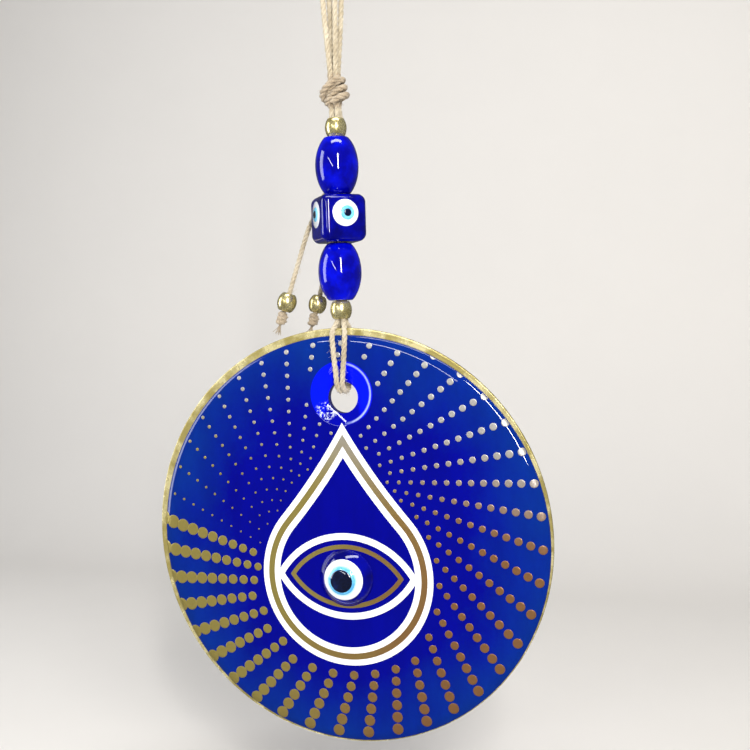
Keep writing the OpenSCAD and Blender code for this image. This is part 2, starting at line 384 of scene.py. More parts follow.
def newMaterial(name, constants):
    material = bpy.data.materials.new(name)
    material.use_nodes = True
    graph = Graph(material.node_tree)
    shader = material.node_tree.nodes["Principled BSDF"]
    for socket, value in constants.items():
        shader.inputs[socket].default_value = value
    spot = graph.add("ShaderNodeTexCoord", output="Object")
    return material, graph, shader.inputs, spot


def bumpFrom(graph, height, strength, distance):
    inputs = {"Height": height, "Strength": strength, "Distance": distance}
    return graph.add("ShaderNodeBump", None, inputs)


twineLook = {
    "cream": (0.51, 0.435, 0.30),
    "pale": (0.72, 0.66, 0.53),
    "shade": (0.22, 0.155, 0.085),
    "streaks": 26,
}
# the knots' twine colours, darker than the strand's: painted shade in the knots' wraps
shadedKnotLook = {
    "cream": (0.41, 0.325, 0.22),
    "pale": (0.60, 0.52, 0.40),
    "shade": (0.17, 0.12, 0.07),
    "streaks": 26,
}


def makeTwineMaterial(name, values):
    constants = {"Roughness": 0.85, "Sheen Weight": 0.35, "Sheen Roughness": 0.5,
                 "Specular IOR Level": 0.25}
    material, graph, shader, spot = newMaterial(name, constants)
    around = graph.add("ShaderNodeAttribute", {"attribute_name": "lay"}, output="Vector")
    fibres = graph.noise(around, values["streaks"] / 10, 3.0, 0.65)
    patches = graph.noise(spot, 320.0, 2.0)
    grit = graph.noise(spot, 4200.0, 1.0)
    tone = fibres * 0.55 + patches * 0.3 + grit * 0.15
    stops = [(0.30, values["shade"]), (0.47, values["cream"]), (0.66, values["pale"])]
    graph.feed(shader["Base Color"], graph.ramp(tone, stops))
    graph.feed(shader["Normal"], bumpFrom(graph, fibres + grit * 0.4, 0.8, 0.00022))
    return material


goldLook = {
    "bright": (0.97, 0.88, 0.48),
    "deep": (0.74, 0.63, 0.26),
    "roughness": 0.24,
}


def makeGoldMaterial(values):
    constants = {"Metallic": 0.85}
    material, graph, shader, spot = newMaterial("goldPlate", constants)
    cloud = graph.noise(spot, 420.0, 3.0)
    scuffs = graph.noise(spot, 3200.0, 2.0)
    graph.feed(shader["Base Color"], graph.blendColour(
        graph.smooth(cloud, 0.35, 0.65), values["deep"], values["bright"]))
    graph.feed(shader["Roughness"], values["roughness"] + 0.12 * graph.smooth(scuffs, 0.45, 0.75))
    graph.feed(shader["Normal"], bumpFrom(graph, scuffs, 0.06, 0.00005))
    return material


beadGlassLook = {
    "deep": (0.0, 0.0, 0.26),
    "bright": (0.0, 0.003, 0.66),
    "transmission": 0.12,
}
squareGlassLook = {
    "deep": (0.0, 0.0, 0.11),
    "bright": (0.0, 0.001, 0.28),
    "transmission": 0.0,
}


def makeBeadGlassMaterial(name, values):
    constants = {"Roughness": 0.05, "IOR": 1.52, "Specular IOR Level": 0.2, "Coat Weight": 0.8,
                 "Coat Roughness": 0.015, "Transmission Weight": values["transmission"]}
    material, graph, shader, spot = newMaterial(name, constants)
    swirl = graph.noise(spot, 150.0, 3.0, 0.6)
    ripple = graph.noise(spot, 90.0, 1.0)
    graph.feed(shader["Base Color"], graph.blendColour(
        graph.smooth(swirl, 0.35, 0.68), values["deep"], values["bright"]))
    graph.feed(shader["Normal"], bumpFrom(graph, ripple, 0.25, 0.0006))
    return material


discLook = {
    "deep": (0.0, 0.0, 0.205),
    "middle": (0.0, 0.001, 0.21),
    # painted reflection: the lighter teal that the glass takes on towards its edge
    "rim": (0.001, 0.020, 0.20),
    # painted light: the hollow round the hole is bright blue where light shines through the thinner glass;
    # dishShade is its painted shade
    "dish": (0.0, 0.006, 0.95),
    "dishShade": (0.0, 0.001, 0.30),
    # painted highlight along the hollow's lip
    "lip": (0.62, 0.74, 1.0),
    # partly the ground glass's own whitish tone, partly painted glints
    "ground": (0.70, 0.76, 0.95),
    "groundSpot": (-5.2, -5.2),  # the rough patch, from the dish's centre
}


def makeDiscGlassMaterial(values, disc):
    constants = {"Roughness": 0.3, "Specular IOR Level": 0.0, "Coat Weight": 1.0,
                 "Coat Roughness": 0.015}
    material, graph, shader, spot = newMaterial("cobaltDisc", constants)
    x, y, z = graph.split(spot)
    up = z + disc["drop"] * mm
    out = root(x * x + up * up) / (disc["glassRadius"] * mm)
    cloud = graph.noise(spot, 34.0, 4.0, 0.6)
    grain = graph.noise(spot, 900.0, 2.0)
    # painted reflection: the body colour turns lighter teal towards the glass's edge, broken up by noise
    wearAndRimSheen = out + (cloud - 0.5) * 0.5 + (grain - 0.5) * 0.10
    stops = [(0.0, values["deep"]), (0.66, values["middle"]), (1.0, values["rim"])]
    streaks = graph.noise(graph.vector("MULTIPLY", spot, (1.0, 1.0, 0.35)), 130.0, 4.0, 0.65)
    shade = 0.72 + 0.56 * streaks
    body = graph.scaled(graph.ramp(wearAndRimSheen, stops), shade)
    over = up - disc["dishUp"] * mm
    near = root(x * x + over * over) / (disc["dishRadius"] * mm)
    swirl = graph.noise(spot, 170.0, 3.0, 0.6)
    # painted light and shade in the hollow: bright towards its left and right sides, painted shade down its
    # middle
    sideLit = graph.smooth(size(x) / mm + over / mm * 0.35 + (swirl - 0.5) * 5, 2.5, 6.0)
    hollow = graph.blendColour(sideLit, values["dishShade"], values["dish"])
    # painted highlight: a thin pale line along the hollow's lip, on its right side
    lipHighlight = graph.smooth(near, 0.86, 0.91) * (1 - graph.smooth(near, 0.92, 0.96))
    lipHighlight = lipHighlight * graph.smooth(x / mm + (swirl - 0.5) * 12, 0.5, 4.0)
    hollow = graph.blendColour(lipHighlight * 0.55, hollow, values["lip"])
    # a rough ground patch below and left of the hole: partly its own whitish tone, partly painted glints
    # that sparkle on it
    patchX, patchUp = values["groundSpot"]
    fromPatch = root((x / mm - patchX) ** 2 + (over / mm - patchUp) ** 2)
    sparkle = graph.smooth(graph.noise(spot, 1100.0, 3.0, 0.7), 0.50, 0.60)
    ground = sparkle * (1 - graph.smooth(fromPatch + (swirl - 0.5) * 3, 2.0, 3.6))
    hollow = graph.blendColour(ground * 0.85, hollow, values["ground"])
    inside = 1 - graph.smooth(near, 0.96, 1.01)
    front = y < -(disc["thick"] / 2 - disc["dishDeep"]) * mm
    graph.feed(shader["Base Color"], graph.blendColour(inside * front, body, hollow))
    graph.feed(shader["Normal"], bumpFrom(graph, graph.noise(spot, 28.0, 1.0), 0.12, 0.0008))
    return material


enamelLook = {
    "white": (0.90, 0.91, 0.93),
    "thin": (0.72, 0.76, 0.86),
}


def makeEnamelMaterial(name, values):
    constants = {"Roughness": 0.28, "Coat Weight": 0.5, "Coat Roughness": 0.08}
    material, graph, shader, spot = newMaterial(name, constants)
    cloud = graph.noise(spot, 260.0, 3.0)
    grain = graph.noise(spot, 2600.0, 2.0)
    graph.feed(shader["Base Color"], graph.blendColour(
        graph.smooth(cloud, 0.55, 0.8), values["white"], values["thin"]))
    graph.feed(shader["Roughness"], 0.22 + 0.16 * grain)
    graph.feed(shader["Normal"], bumpFrom(graph, grain, 0.2, 0.00006))
    return material


# the shift from olive to brown and the pale top are painted shade and painted reflection on the foil
foilLook = {
    "olive": (0.37, 0.30, 0.08),
    "brown": (0.30, 0.145, 0.055),
    "pale": (0.50, 0.49, 0.47),
    "roughness": 0.36,
}


def makeFoilMaterial(values, disc):
    constants = {"Metallic": 0.55}
    material, graph, shader, spot = newMaterial("goldFoil", constants)
    x, _, z = graph.split(spot)
    reach = disc["glassRadius"] * mm
    right = x / reach
    up = (z + disc["drop"] * mm) / reach
    cloud = graph.noise(spot, 120.0, 3.0)
    crumple = graph.noise(spot, 1500.0, 3.0, 0.6)
    # painted shade: olive at the left, turning darker brown towards the right and lower down
    paintedSideShade = graph.smooth(right + (cloud - 0.5) * 0.5 - 0.35 * up, -0.35, 0.75)
    warm = graph.blendColour(paintedSideShade, values["olive"], values["brown"])
    # painted reflection: pale and silvery towards the top
    high = graph.smooth(up + 0.25 * right, 0.15, 0.75)
    graph.feed(shader["Base Color"], graph.blendColour(high, warm, values["pale"]))
    graph.feed(shader["Roughness"], values["roughness"] + 0.22 * (crumple - 0.5))
    graph.feed(shader["Normal"], bumpFrom(graph, crumple, 0.55, 0.00012))
    return material


giltLook = {
    "pale": (0.93, 0.83, 0.43),
    "olive": (0.54, 0.45, 0.15),
    "brown": (0.24, 0.11, 0.03),
    "roughness": 0.26,
}


def makeGiltMaterial(values):
    constants = {"Metallic": 0.55}
    material, graph, shader, spot = newMaterial("firedGilt", constants)
    streaks = graph.noise(graph.vector("MULTIPLY", spot, (1.0, 2.5, 1.0)), 170.0, 4.0, 0.65)
    chips = graph.noise(spot, 95.0, 4.0, 0.7)
    base = graph.blendColour(graph.smooth(streaks, 0.40, 0.62), values["olive"], values["pale"])
    wearAndRimSheen = graph.smooth(chips, 0.66, 0.72)
    graph.feed(shader["Base Color"], graph.blendColour(wearAndRimSheen, base, values["brown"]))
    graph.feed(shader["Roughness"], values["roughness"] + 0.2 * (streaks - 0.5))
    graph.feed(shader["Normal"], bumpFrom(graph, streaks, 0.35, 0.00025))
    return material


fusedLook = {
    "white": (0.93, 0.95, 0.97),
    "sky": (0.22, 0.66, 0.90),
    "blue": (0.10, 0.45, 0.80),
    "black": (0.002, 0.004, 0.018),
    "whiteCloud": (0.80, 0.86, 0.95),
    "deepSky": (0.10, 0.42, 0.78),
    "blackCloud": (0.004, 0.012, 0.07),
    "fineSpeckle": 500.0,
    "speckle": 300.0,
}


def makeFusedMaterial(name, colour, second, speckle):
    constants = {"Roughness": 0.08, "Coat Weight": 1.0, "Coat Roughness": 0.02}
    material, graph, shader, spot = newMaterial(name, constants)
    cloud = graph.noise(spot, speckle, 3.0)
    graph.feed(shader["Base Color"], graph.blendColour(
        graph.smooth(cloud, 0.42, 0.72), colour, second))
    graph.feed(shader["Normal"], bumpFrom(graph, graph.noise(spot, 400.0, 1.0), 0.15, 0.0002))
    return material


def makeEyeWhiteMaterial(values, disc, eye):
    # white glass that turns sky blue where the ring has bled into it
    constants = {"Roughness": 0.07, "Coat Weight": 1.0, "Coat Roughness": 0.02}
    material, graph, shader, spot = newMaterial("eyeWhiteGlass", constants)
    x, _, z = graph.split(spot)
    up = z + (disc["drop"] - eye["up"]) * mm
    wobble = (graph.noise(spot, 420.0, 2.0) - 0.5) * 0.7
    out = root(x * x + up * up) / mm + wobble
    bled = 1 - graph.smooth(out, eye["skyRadius"] - 0.3, eye["skyRadius"] + 1.0)
    graph.feed(shader["Base Color"], graph.blendColour(
        bled, values["white"], values["sky"]))
    return material


disc = {
    "drop": 177.3,           # its centre, below the nail
    "glassRadius": 61.9,
    "thick": 4.4,
    "shoulderWide": 3.3,
    "shoulderDeep": 1.3,
    "bevelWide": 2.6,
    "bevelDeep": 1.6,
    "holeRadius": 4.8,
    "holeUp": 43.1,
    "dishRadius": 10.0,
    "dishUp": 44.3,
    "dishDeep": 1.9,
    "dishLip": 0.06,
    "rimRadius": 63.2,
    "rimSide": -0.6,
    "rimRise": 0.9,
    "segments": 256,
}
eye = {
    "up": -11.6,             # its centre, above the disc's
    "radius": 8.6,
    "height": 4.8,
    "whiteRadius": 6.2,
    "skyRadius": 4.2,
    "pupilRadius": 3.45,
    "layers": (0.25, 0.4, 0.55),
    "skirt": 0.12,
    "segments": 72,
    "rows": 14,
    "baseSegments": 96,
    "baseRows": 30,
}

twineMaterial = makeTwineMaterial("cottonTwine", twineLook)
# the same twine with painted shade, for the knots
shadedKnotMaterial = makeTwineMaterial("shadedKnotTwine", shadedKnotLook)
goldMaterial = makeGoldMaterial(goldLook)
beadMaterial = makeBeadGlassMaterial("cobaltBead", beadGlassLook)
cubeMaterial = makeBeadGlassMaterial("squareBeadGlass", squareGlassLook)
eyeGlassMaterial = makeBeadGlassMaterial("eyeBaseGlass", squareGlassLook)
discMaterial = makeDiscGlassMaterial(discLook, disc)
enamelMaterial = makeEnamelMaterial("whiteEnamel", enamelLook)
foilMaterial = makeFoilMaterial(foilLook, disc)
giltMaterial = makeGiltMaterial(giltLook)
whiteMaterial, blueMaterial, skyMaterial, blackMaterial = (
    makeFusedMaterial(name, fusedLook[colour], fusedLook[second], fusedLook[speckle])
    for name, colour, second, speckle in (("fusedWhite", "white", "whiteCloud", "speckle"),
                                          ("fusedBlue", "sky", "blue", "fineSpeckle"),
                                          ("fusedSky", "deepSky", "sky", "fineSpeckle"),
                                          ("fusedBlack", "black", "blackCloud", "speckle")))
eyeWhiteMaterial = makeEyeWhiteMaterial(fusedLook, disc, eye)
print("materials made")


twine = {
    "diameter": 1.6,
    "plies": 3,
    "plyRadius": 0.43,
    "plyOffset": 0.40,
    "pitch": 5.4,
    "step": 0.4,
    "sides": 9,
    "hairEvery": 0.42,
    "hairLength": 2.2,
    "hairRadius": 0.028,
}
twineSizes = ("plyRadius", "plyOffset", "pitch", "step", "hairEvery", "hairLength", "hairRadius")


def makeTwineTree():
    graph, given = newBuildTree("layTwine", {
        "Geometry": ["Geometry"], "Int": ["plies", "sides", "seed"], "Float": twineSizes,
        "Material": ["material"]})
    path = graph.add("GeometryNodeMeshToCurve", None, {"Mesh": given["Geometry"]})
    path = graph.add("GeometryNodeResampleCurve", {"mode": "LENGTH"},
                     {"Curve": path, "Length": given["step"]})
    copies = graph.add("GeometryNodeDuplicateElements", {"domain": "SPLINE"},
                       {"Geometry": path, "Amount": given["plies"]}, "Geometry")
    along = graph.add("GeometryNodeSplineParameter", output="Length")
    turn = (along / given["pitch"] + copies.output("Duplicate Index") / given["plies"]) * fullTurn
    normal = graph.add("GeometryNodeInputNormal", output="Normal")
    side = graph.vector("CROSS_PRODUCT", graph.add("GeometryNodeInputTangent"), normal)
    shift = graph.vector("ADD", graph.scaled(normal, cosine(turn) * given["plyOffset"]),
                         graph.scaled(side, sine(turn) * given["plyOffset"]))
    plies = graph.add("GeometryNodeSetPosition", None, {"Geometry": copies, "Offset": shift})
    share = graph.add("GeometryNodeSplineParameter", output="Factor")
    ring = graph.store(graph.circle(given["sides"], given["plyRadius"]), "share", share)
    cord = graph.sweep(graph.store(plies, "along", along), ring)
    # fibre streaks run almost along the ply, so the pattern is stretched that way
    angle = graph.stored("share") * fullTurn
    lay = graph.joined(cosine(angle) * 2.2, sine(angle) * 2.2, graph.stored("along") * 420.0)
    cord = graph.store(cord, "lay", lay, "FLOAT_VECTOR")
    cord = graph.add("GeometryNodeSetShadeSmooth", None, {"Geometry": cord})
    # loose fibres that lift off the twine
    spots = graph.add("GeometryNodeCurveToPoints", {"mode": "LENGTH"},
                      {"Curve": path, "Length": given["hairEvery"]}, "Points")
    lift = given["plyOffset"] + given["plyRadius"]
    hair = graph.add("GeometryNodeCurveQuadraticBezier", None, {
        "Resolution": 4, "Start": graph.joined(lift * 0.7, 0.0, 0.0),
        "Middle": graph.joined(lift * 1.1, 0.0, given["hairLength"] * 0.5),
        "End": graph.joined(lift + given["hairLength"] * 0.32, 0.0, given["hairLength"])})
    hair = graph.sweep(hair, graph.circle(3, given["hairRadius"]))
    spin = graph.add("FunctionNodeRandomValue", {"data_type": "FLOAT_VECTOR"},
                     {"Min": (-0.35, -0.35, 0.0), "Max": (0.35, 0.35, 6.283), "Seed": given["seed"]})
    flip = graph.add("FunctionNodeRandomValue", {"data_type": "FLOAT_VECTOR"},
                     {"Min": (0.7, 0.7, -1.1), "Max": (1.2, 1.2, 1.1), "Seed": given["seed"]})
    turned = graph.add("FunctionNodeRotateRotation", {"rotation_space": "LOCAL"},
                       {"Rotation": spots.output("Rotation"), "Rotate By": spin})
    hairs = graph.add("GeometryNodeInstanceOnPoints", None,
                      {"Points": spots, "Instance": hair, "Rotation": turned, "Scale": flip})
    both = graph.add("GeometryNodeJoinGeometry")
    for part in (hairs, cord):
        graph.tree.links.new(part.socket, both.socket.node.inputs[0])
    endBuildTree(graph, both, given["material"])
    return graph.tree


twineTree = makeTwineTree()


def layTwine(name, routes, seed, **changes):
    chosen = {**twine, **changes, "seed": seed, "material": twineMaterial}
    chosen.update({key: chosen[key] * mm for key in twineSizes})
    return runBuildTree(name, lineMesh(name + "Line", routes), twineTree, chosen)


hangingLoop = {
    "seed": 11, "plyRadius": 0.46,
    "route": [(-0.85, -0.9, -39.2), (-0.95, -0.9, -36.8), (-1.6, -0.9, -29), (-2.2, -0.9, -22),
              (-2.65, -0.9, -15), (-3.1, -0.9, -8), (-3.6, -0.9, -3), (-3.6, -0.9, 0),
              (-3.1, -0.9, 1.8), (-1.8, -0.9, 3.1), (0, -0.9, 3.6), (1.8, -0.9, 3.1),
              (3.1, -0.9, 1.8), (3.6, -0.9, 0), (3.2, -0.9, -3), (2.1, -0.9, -8),
              (1.3, -0.9, -15), (1.1, -0.9, -22), (0.9, -0.9, -29), (0.8, -0.9, -36.8),
              (0.85, -0.9, -39.2)],
}


def makeHangingLoops(values):
    for name, turn, node, seed in (("hangingTwineFront", 1, "hanging_loop_front", 0),
                                   ("hangingTwineBack", -1, "hanging_loop_back", 1)):
        points = [place(turn * x, turn * y, z) for x, y, z in values["route"]]
        line = smoothRoute(points, 6)
        piece = layTwine(name, [line], values["seed"] + seed, plyRadius=values["plyRadius"])
        wear(piece, None, "hanger", "twine", node)
        tuple(points[0])
        lineLength(line)


tails = {
    "long": {
        "seed": 31, "body": "tail_long", "beadBody": "tail_long_bead", "plyRadius": 0.41,
        "pitch": 4.6,
        "route": [(-1.5, 1.6, -47.4), (-2.0, 2.3, -49.2), (-2.6, 3.1, -51), (-3.1, 4.9, -53.4),
                  (-3.5, 6.4, -57), (-4, 7.2, -61.5), (-4.9, 7.6, -66), (-6.8, 8, -71),
                  (-9.1, 8, -75.2), (-11.3, 7.5, -79.4), (-12.9, 6.9, -83), (-15.2, 6.1, -90.3),
                  (-17.4, 5.3, -97.5), (-19.6, 4.5, -104.8), (-20.6, 4.1, -108)],
        "beadRadius": 3.0, "knotRadius": 1.6,
    },
    "short": {
        "seed": 41, "body": "tail_short", "beadBody": "tail_short_bead", "plyRadius": 0.41,
        "pitch": 4.6,
        "route": [(0.6, 1.6, -47.4), (0.4, 2.9, -49.2), (0.3, 4, -51), (0.1, 5.5, -54),
                  (-0.2, 6.9, -58), (-0.4, 7.6, -64), (-1, 8.4, -70), (-2.4, 9.6, -75),
                  (-3.9, 10.2, -80.5), (-5.5, 10, -86), (-6.9, 9.3, -91), (-8.1, 8.6, -95.9),
                  (-9.2, 7.9, -100.7), (-10.4, 7.2, -105.6), (-11.2, 6.7, -108.8)],
        "beadRadius": 2.8, "knotRadius": 1.5,
    },
}
tailKnot = {
    "turns": 2.3, "wrapRadius": 0.62, "rise": 2.9, "forRadius": 1.6, "tilt": 0.35, "plyRadius": 0.40,
    "pitch": 3.6, "hairLength": 1.2, "overlap": 0.4, "coreLow": 1.3,
    "tip": 3.4, "fray": 1.5, "frayStrands": 11, "frayRadius": 0.10, "frayTurn": 2.4,
}


def turnedTo(direction):
    # a frame whose third axis points along direction
    return direction.to_track_quat("Z", "Y").to_matrix()


def woundRoute(centre, direction, radius, rise, turns, tilt, lobe=0.0, lobeTurn=0.0, steps=18):
    # turns of twine round an axis, leaning, with one side that can bulge out
    basis = turnedTo(direction)
    line = []
    count = int(turns * steps)
    for i in range(count + 1):
        share = i / count
        angle = fullTurn * turns * share
        bulge = lobe * max(0.0, math.cos(angle - math.radians(lobeTurn))) ** 3 * share
        reach = radius + bulge
        lean = tilt * math.cos(angle)
        spot = Vector((reach * math.cos(angle), reach * math.sin(angle), (share - 0.5) * rise + lean))
        line.append(centre + basis @ (spot * mm))
    return line


def frayRoutes(start, direction, values):
    # the unlaid end: thin strands that open out below the knot
    basis = turnedTo(direction)
    routes = []
    for i in range(values["frayStrands"]):
        angle = i * values["frayTurn"]
        spread = values["fray"] * (0.25 + 0.75 * ((i * 7) % 11) / 11)
        length = values["tip"] * (0.75 + 0.25 * ((i * 5) % 11) / 11)
        line = []
        for step in range(6):
            t = step / 5
            out = 0.25 + spread * t * t
            spot = Vector((out * math.cos(angle + t), out * math.sin(angle + t), length * t))
            line.append(start + basis @ (spot * mm))
        routes.append(line)
    return routes


def joinPieces(name, parts):
    # several finished meshes as one piece
    built = bmesh.new()
    slots = []
    for part in parts:
        fresh = len(slots)
        slots += [m for m in part.data.materials]
        before = len(built.faces)
        built.from_mesh(part.data)
        built.faces.ensure_lookup_table()
        for face in built.faces[before:]:
            face.material_index += fresh
        bpy.data.objects.remove(part)
    mesh = takeMesh(name, built)
    for material in slots:
        mesh.materials.append(material)
    return addPiece(name, mesh)


def makeTail(kind, values, knot):
    points = [place(*p) for p in values["route"]]
    line = smoothRoute(points, 6)
    end = points[-1]
    along = (points[-1] - points[-2]).normalized()
    cord = layTwine(kind + "TailTwine", [line], values["seed"], plyRadius=values["plyRadius"],
                    pitch=values["pitch"])
    tuple(points[0])
    tuple(points[3])
    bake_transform(cord)
    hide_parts("tail_" + kind)
    bead = makeRoundBead(kind + "TailBead", points[-2], along, values["beadRadius"], tailBead)
    wear(bead, goldMaterial, values["beadBody"], "gold_bead", "tail_" + kind + "_bead")
    reach = values["knotRadius"]
    middle = end + along * (reach + 0.1) * mm
    wound = woundRoute(middle, along, reach * knot["wrapRadius"],
                       knot["rise"] * reach / knot["forRadius"], knot["turns"], knot["tilt"])
    core = [end - along * knot["overlap"] * mm, middle, middle + along * reach * knot["coreLow"] * mm]
    wraps = layTwine(kind + "Wraps", [wound, core], values["seed"] + 1, pitch=knot["pitch"],
                     plyRadius=knot["plyRadius"], hairLength=knot["hairLength"])
    tip = layTwine(kind + "Tip", frayRoutes(core[-1], along, knot), values["seed"] + 2,
                   plies=1, plyOffset=0.0, plyRadius=knot["frayRadius"], sides=5, hairEvery=1.5,
                   hairLength=0.8, hairRadius=0.02)
    whole = joinPieces(kind + "TailKnot", [wraps, tip])
    wear(whole, shadedKnotMaterial, values["body"], "twine", "tail_" + kind + "_knot")
    tuple(points[0])
    lineLength(line)


def borePath(radius, half, mouth):
    # the inside of a bore with small rounded mouths, top to bottom
    return [(radius + mouth, half), (radius + mouth * 0.3, half - mouth * 0.3), (radius, half - mouth),
            (radius, 0.0), (radius, mouth - half), (radius + mouth * 0.3, mouth * 0.3 - half),
            (radius + mouth, -half)]


tailBead = {"height": 0.95, "flat": 0.62, "clear": 0.25, "chamfer": 0.12, "mouth": 0.15, "rows": 32,
            "segments": 48}


def makeRoundBead(name, end, along, radius, values):
    half = values["height"] * radius
    stretch = half / math.sqrt(1 - values["flat"] ** 2)
    outside = []
    for i in range(values["rows"] + 1):
        h = -half + 2 * half * i / values["rows"]
        outside.append((radius * math.sqrt(max(0.0, 1 - (h / stretch) ** 2)), h))
    for i in (0, -1):
        outside[i] = (outside[i][0] - values["chamfer"], outside[i][1])
    profile = outside + borePath(twine["diameter"] / 2 + values["clear"], half, values["mouth"])
    basis = turnedTo(along)

    def put(x, y, h):
        return end + basis @ (Vector((x, y, h)) * mm)

    return finishMesh(name, skinRings(turnedRings(profile, values["segments"], put), True))


makeHangingLoops(hangingLoop)
for kind, values in tails.items():
    makeTail(kind, values, tailKnot)
print("cords laid")


mainKnot = {
    "centre": -43.1, "radius": 2.3, "rise": 6.4, "turns": 2.75, "tilt": 1.6, "lobe": 2.0,
    "lobeTurn": 200, "steps": 22, "plyRadius": 0.50, "plyOffset": 0.50, "hairLength": 1.6,
    "coreTop": -37.6, "coreLow": -47.6, "seed": 51,
    # one strand crosses over the wraps and tucks in under the lobe
    "crossing": [(2.2, -1.6, -39.2), (0.9, -3.5, -40.4), (-1.6, -3.6, -42.2), (-3.3, -1.9, -43.8),
                 (-3.4, 0.6, -45.0)],
}
strands = {"half": 0.85, "seed": 61, "hairEvery": 1.2, "top": -46.5, "middle": -53.0, "low": -110.3}


def fourCorners(half):
    return [(x, y) for x in (-half, half) for y in (-half, half)]


def makeMainKnot(values):
    routes = [woundRoute(place(0, 0, values["centre"]), Vector((0, 0, -1)), values["radius"],
                         values["rise"], values["turns"], values["tilt"], values["lobe"],
                         values["lobeTurn"], values["steps"])]
    heights = (values["coreTop"], values["centre"], values["coreLow"])
    for x, y in fourCorners(strands["half"]):
        routes.append([place(x, y, z) for z in heights])
    routes.append(smoothRoute([place(*p) for p in values["crossing"]], 6))
    piece = layTwine("woundKnot", routes, values["seed"], hairLength=values["hairLength"],
                     plyRadius=values["plyRadius"], plyOffset=values["plyOffset"])
    wear(piece, shadedKnotMaterial, "knot", "twine", "main_knot")


def fourStrands(name, top, low, body, node, values):
    routes = []
    for x, y in fourCorners(values["half"]):
        routes.append([place(x, y, top + (low - top) * i / 8) for i in range(9)])
    piece = layTwine(name, routes, values["seed"], hairEvery=values["hairEvery"])
    wear(piece, None, body, "twine", node)


holeLoop = {
    "seed": 71,
    "front": [(1.0, -0.85, -109.9), (1.05, -0.9, -111), (1.2, -1.25, -111.9), (1.55, -1.95, -112.9),
              (1.9, -2.7, -114.0), (2, -3.1, -115.8), (1.8, -3.2, -119), (1.5, -3.2, -123),
              (1.1, -3.2, -127), (0.95, -3.2, -129.2)],
    "turnRadius": 3.2, "turnHeight": -129.2, "turnX": 0.87,
}


def makeHoleLoops(values):
    for name, side, node, seed in (("holeTwineRight", 1, "hole_loop_right", 0),
                                   ("holeTwineLeft", -1, "hole_loop_left", 1)):
        front = [place(side * x, y, z) for x, y, z in values["front"]]
        back = [place(side * x, -y, z) for x, y, z in reversed(values["front"])]
        turn = []
        for step in range(1, 12):
            angle = math.radians(15 * step)
            turn.append(place(side * values["turnX"], -values["turnRadius"] * math.cos(angle),
                              values["turnHeight"] - values["turnRadius"] * math.sin(angle)))
        line = smoothRoute(front + turn + back, 5)
        piece = layTwine(name, [line], values["seed"] + seed)
        wear(piece, None, "hole_loops", "twine", node)


makeMainKnot(mainKnot)
fourStrands("neckTwine", strands["top"], strands["middle"], "neck", "strand_neck", strands)
fourStrands("beadTwine", strands["middle"], strands["low"], "strand", "strand_twine", strands)
makeHoleLoops(holeLoop)
print("strand laid")


beads = {
    "bore": 2.2, "mouth": 0.3, "segments": 72,
    "ovalRadius": 6.5, "ovalLength": 17, "ovalEnd": 3.6, "ovalLip": 0.7,
    "spacerRadius": 3.25, "spacerLength": 5.2, "spacerEnd": 2.45, "spacerLip": 0.2,
}


def beadProfile(radius, length, end, lip, bore, mouth, rows=40):
    half = length / 2
    stretch = half / math.sqrt(1 - (end / radius) ** 2)
    side = []
    for i in range(rows + 1):
        h = half * math.sin(math.pi * (i / rows - 0.5))
        side.append((radius * math.sqrt(1 - (h / stretch) ** 2), h))
    kept = [p for p in side if abs(p[1]) < half - lip * 0.8]
    low = softCorner((bore, -half), (end, -half), kept[0], lip)
    high = softCorner(kept[-1], (end, half), (bore, half), lip)
    return low + kept + high + borePath(bore, half, mouth)


def makeBead(name, centre, shape, material, body, slot, node, values):
    radius, length, end, lip = shape
    profile = beadProfile(radius, length, end, lip, values["bore"], values["mouth"])

    def put(x, y, h):
        return Vector((x * mm, y * mm, centre + h * mm))

    piece = finishMesh(name, skinRings(turnedRings(profile, values["segments"], put), True), 50)
    wear(piece, material, body, slot, node)


def middleOf(node):
    low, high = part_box(node)
    return (low.z + high.z) / 2


def makeRoundStack(values):
    oval = (values["ovalRadius"], values["ovalLength"], values["ovalEnd"], values["ovalLip"])
    spacer = (values["spacerRadius"], values["spacerLength"], values["spacerEnd"], values["spacerLip"])
    for name, node, body in (("ovalBeadTop", "oval_bead_upper", "oval_upper"),
                             ("ovalBeadLow", "oval_bead_lower", "oval_lower")):
        makeBead(name, middleOf(node), oval, beadMaterial, body, "blue_bead_glass", node, values)
    for name, node, body in (("goldSpacerTop", "spacer_upper", "spacer_top"),
                             ("goldSpacerLow", "spacer_lower", "stack")):
        makeBead(name, middleOf(node), spacer, goldMaterial, body, "gold_bead", node, values)


squareBead = {
    "side": 14, "round": 2.5, "turn": 38, "bore": 2.2, "mouth": 0.35, "cornerSteps": 9, "sideSteps": 8,
    "spots": (3.95, 2.15, 1.2), "rise": 0.45, "shift": 0.55, "up": 1.2, "skirt": 0.25,
    "layers": (0.0, 0.18, 0.32), "sharp": 0.01,
}


def spun(x, y, angle):
    return x * math.cos(angle) - y * math.sin(angle), x * math.sin(angle) + y * math.cos(angle)


def squareRing(core, corner, steps, sideSteps):
    # a square with round corners, walked once round
    points = []
    for quarter in range(4):
        turn = math.pi / 2 * quarter
        for i in range(steps):
            angle = math.pi / 2 * i / (steps - 1)
            points.append(spun(core + corner * math.cos(angle), core + corner * math.sin(angle), turn))
        for i in range(1, sideSteps):
            points.append(spun(core - 2 * core * i / sideSteps, core + corner, turn))
    return points


